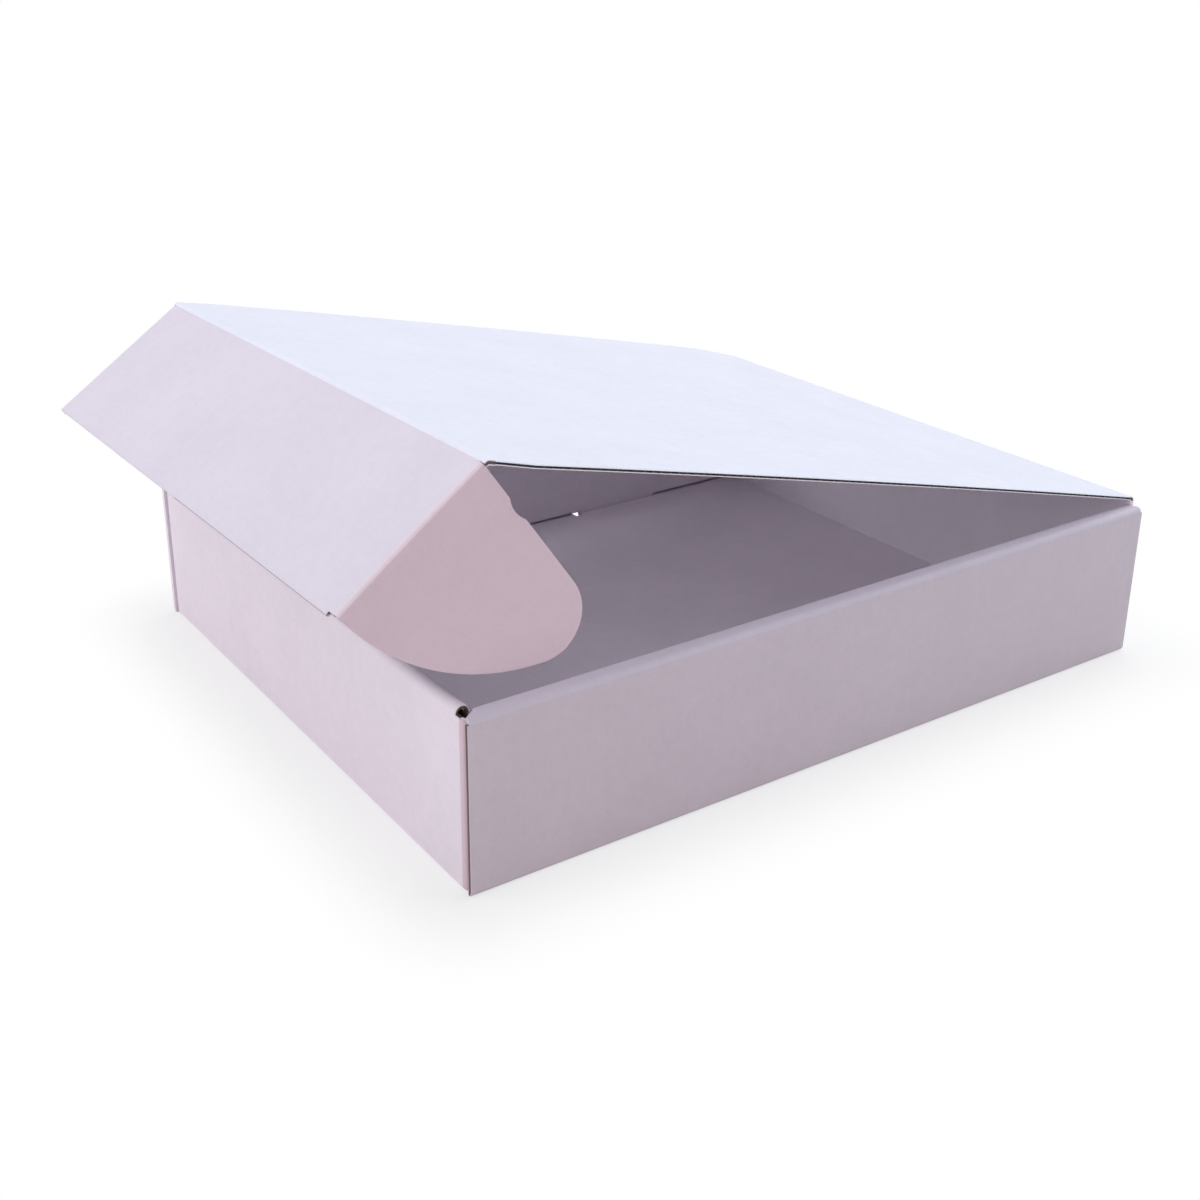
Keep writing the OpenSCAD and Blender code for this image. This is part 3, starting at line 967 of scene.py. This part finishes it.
class MAILER_OT_creases(Operator):
    """Creases that join the lid, the flap and the ears"""
    bl_idname = "mailer.creases"
    bl_label = "Creases"

    def execute(self, context):
        def point(function, *at):
            return tuple(float(q) * MM for q in function(*(np.float64(x) for x in at)))
        # The rear and front creases take the lid tint too, which paints the cool light from above.
        rear = make_piece("rear_crease", rear_crease_sheet(), papers("lid"))
        point(lid_point, 0, CREASE_REACH, 0)
        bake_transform(rear)
        front = make_piece("front_crease", front_crease_sheet(), papers("lid"))
        point(lid_point, 0, LID_LEN - LID_REACH, 0)
        point(flap_point, 0, FOLD_REACH, 0)
        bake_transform(front)
        for side, hand in HANDS.items():
            # On the right the creases take the fold and ear tints, painted light; on the left the flap's
            # tint, painted shade.
            tints = papers("fold") + papers("ear")[:1] if hand > 0 else papers("flap")
            on_flap, on_ear = ear_crease_sheets(hand)
            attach(make_piece("flap_" + side + "_crease", on_flap, tints), "flap")
            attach(make_piece("ear_" + side + "_crease", on_ear, tints), "ear_" + side)
        return {"FINISHED"}


# Stage

# The floor's half width, where it turns to plain white outside and under the box, in metres, and the share of
# white that it has at the box's edge.
FLOOR_HALF = 6.0
FLOOR_FADE = 0.045
FLOOR_UNDER = 0.0018
FLOOR_SHARE = 0.62
# The strength of the world's light on the object.
WORLD_LIGHT = 0.38
# The camera's lens in mm, its turn vector from the shared frame to right, down and ahead, and its place in m.
CAMERA_LENS = 47.264
CAMERA_TURN = (1.81461, 0.9581, -0.62662)
CAMERA_AT = (0.47085, -0.33280, 0.27393)
# Name, place, aim, size in metres, watts and colour of each lamp.
LAMPS = (("overhead_softbox", (-0.15, 0.5, 1.33), (0, 0, 0.08), 1.3, 12.0, "#FAFBFF"),
         ("front_left_softbox", (-0.75, -1.45, 0.4), (0, 0, 0.05), 1.0, 10.7, "#FBFAFF"),
         ("right_softbox", (1.1, -0.75, 1.15), (0.05, -0.1, 0.03), 1.0, 4.6, "#FFF8FC"),
         ("rear_right_lamp", (0.55, 0.5, 0.3), (0.12, 0.12, 0.03), 0.3, 0.4, "#A5F0FF"))


def seen(tree):
    """1 where the camera looks, straight or by a reflection or through glass, and 0 for light on the
    object."""
    path = add(tree, "LightPath")
    first = add(tree, "Math", {0: path["Is Camera Ray"], 1: path["Is Glossy Ray"]}, operation="MAXIMUM")[0]
    return add(tree, "Math", {0: first, 1: path["Is Transmission Ray"]}, operation="MAXIMUM")[0]


def matt_floor():
    """Matt white studio floor: it takes a soft shadow beside the box and turns to plain white away from
    it. Its white is a smooth step of the distance from the box's outline."""
    material, tree = new_material("matt_white_floor")
    at = add(tree, "TexCoord")["Object"]
    past = add(tree, "VectorMath", {0: at}, operation="ABSOLUTE")[0]
    inset = add(tree, "VectorMath", {0: past, 1: (*(BODY_HIGH[:2] * MM), 0)}, operation="SUBTRACT")[0]
    past = add(tree, "VectorMath", {0: inset, 1: (0, 0, 0)}, operation="MAXIMUM")[0]
    past = add(tree, "VectorMath", {0: past}, operation="LENGTH")["Value"]
    white = add(tree, "MapRange", {"Value": past, "From Max": FLOOR_FADE, "To Min": FLOOR_SHARE},
                interpolation_type="SMOOTHSTEP")[0]
    # Under the box it is plain white, as it shows through the spare ends of the slots.
    edge = add(tree, "SeparateXYZ", {0: inset})
    edge = add(tree, "Math", {0: edge[0], 1: edge[1]}, operation="MAXIMUM")[0]
    under = add(tree, "Math", {0: edge, 1: -FLOOR_UNDER}, operation="LESS_THAN")[0]
    white = add(tree, "Math", {0: white, 1: under}, operation="MAXIMUM")[0]
    share = add(tree, "Math", {0: seen(tree), 1: white}, operation="MULTIPLY")[0]
    matt = add(tree, "BsdfDiffuse", {"Color": linear("#F4F4F4")})[0]
    glow = add(tree, "Emission", {"Strength": 1.0})[0]
    add(tree, "OutputMaterial", {"Surface": add(tree, "MixShader", {0: share, 1: matt, 2: glow})[0]})
    return material


def placed(x, y, z, at):
    """The matrix of an object that stands at a point, with its own three axes given."""
    return Matrix([[x[i], y[i], z[i], at[i]] for i in range(3)] + [[0, 0, 0, 1]])


def aimed(at, aim):
    """The matrix of a lamp that stands at a point and shines along its own -z at another."""
    z = np.array(at, float) - np.array(aim, float)
    z /= np.linalg.norm(z)
    x = np.cross([0, 0, 1], z)
    x /= np.linalg.norm(x)
    return placed(x, np.cross(z, x), z, at)


def camera_matrix():
    """The camera's matrix: the rotation about the turn vector, by its length as an angle, has right, down
    and ahead as its rows."""
    a = np.linalg.norm(CAMERA_TURN)
    k = np.array(CAMERA_TURN) / a
    cross = np.array([[0, -k[2], k[1]], [k[2], 0, -k[0]], [-k[1], k[0], 0]])
    right, down, ahead = np.eye(3) + math.sin(a) * cross + (1 - math.cos(a)) * cross @ cross
    return placed(right, -down, -ahead, CAMERA_AT)


class MAILER_OT_stage(Operator):
    """White floor, soft studio light and the camera"""
    bl_idname = "mailer.stage"
    bl_label = "Stage"

    def execute(self, context):
        scene = context.scene
        scene.view_settings.view_transform = "Standard"
        mesh = bpy.data.meshes.new("floor")
        corners = [(x * FLOOR_HALF, y * FLOOR_HALF, 0) for x, y in ((-1, -1), (1, -1), (1, 1), (-1, 1))]
        mesh.from_pydata(corners, [], [(0, 1, 2, 3)])
        mesh.materials.append(matt_floor())
        floor = bpy.data.objects.new("floor", mesh)
        scene.collection.objects.link(floor)

        scene.world = bpy.data.worlds.new("studio")
        scene.world.use_nodes = True
        tree = scene.world.node_tree
        tree.nodes.clear()
        level = add(tree, "MapRange", {"Value": seen(tree), "To Min": WORLD_LIGHT})[0]
        sky = add(tree, "Background", {"Color": (1, 1, 1, 1), "Strength": level})[0]
        add(tree, "OutputWorld", {"Surface": sky})

        for name, at, aim, size, watts, code in LAMPS:
            lamp = bpy.data.lights.new(name, "AREA")
            lamp.shape = "SQUARE"
            lamp.size = size
            lamp.energy = watts
            lamp.color = linear(code)[:3]
            made = bpy.data.objects.new(name, lamp)
            made.visible_camera = False
            made.matrix_world = aimed(at, aim)
            scene.collection.objects.link(made)

        lens = bpy.data.cameras.new("camera")
        lens.sensor_width = 36.0
        lens.lens = CAMERA_LENS
        lens.clip_end = 50.0
        camera = bpy.data.objects.new("camera", lens)
        camera.matrix_world = camera_matrix()
        scene.collection.objects.link(camera)
        scene.camera = camera
        return {"FINISHED"}


# Panel and run

class MAILER_PT_panel(Panel):
    """Sizes, colours and steps of the mailer box"""
    bl_idname = "MAILER_PT_panel"
    bl_label = "Mailer box"
    bl_space_type = "VIEW_3D"
    bl_region_type = "UI"
    bl_category = "Mailer box"

    def draw(self, context):
        for group in (context.scene.mailer_board, context.scene.mailer_body, context.scene.mailer_lid):
            box = self.layout.box()
            for key in group.__annotations__:
                box.prop(group, key)
        for operator in STEPS:
            self.layout.operator(operator.bl_idname)


GROUPS = {"mailer_board": MailerBoard, "mailer_body": MailerBody, "mailer_lid": MailerLid}
STEPS = (MAILER_OT_base, MAILER_OT_side_walls, MAILER_OT_front_wall, MAILER_OT_rear_wall, MAILER_OT_lid,
         MAILER_OT_flap, MAILER_OT_ears, MAILER_OT_creases, MAILER_OT_stage)


def register():
    """Adds the classes and the scene's property groups."""
    for cls in (*GROUPS.values(), *STEPS, MAILER_PT_panel):
        bpy.utils.register_class(cls)
    for key, cls in GROUPS.items():
        setattr(bpy.types.Scene, key, bpy.props.PointerProperty(type=cls))


def unregister():
    """Takes away what register added."""
    for key in GROUPS:
        delattr(bpy.types.Scene, key)
    for cls in reversed((*GROUPS.values(), *STEPS, MAILER_PT_panel)):
        bpy.utils.unregister_class(cls)


def main():
    """Registers the classes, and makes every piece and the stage."""
    register()
    bpy.ops.mailer.base()
    bpy.ops.mailer.side_walls()
    bpy.ops.mailer.front_wall()
    bpy.ops.mailer.rear_wall()
    bpy.ops.mailer.lid()
    bpy.ops.mailer.flap()
    bpy.ops.mailer.ears()
    bpy.ops.mailer.creases()
    bpy.ops.mailer.stage()


if __name__ == "__main__":
    main()
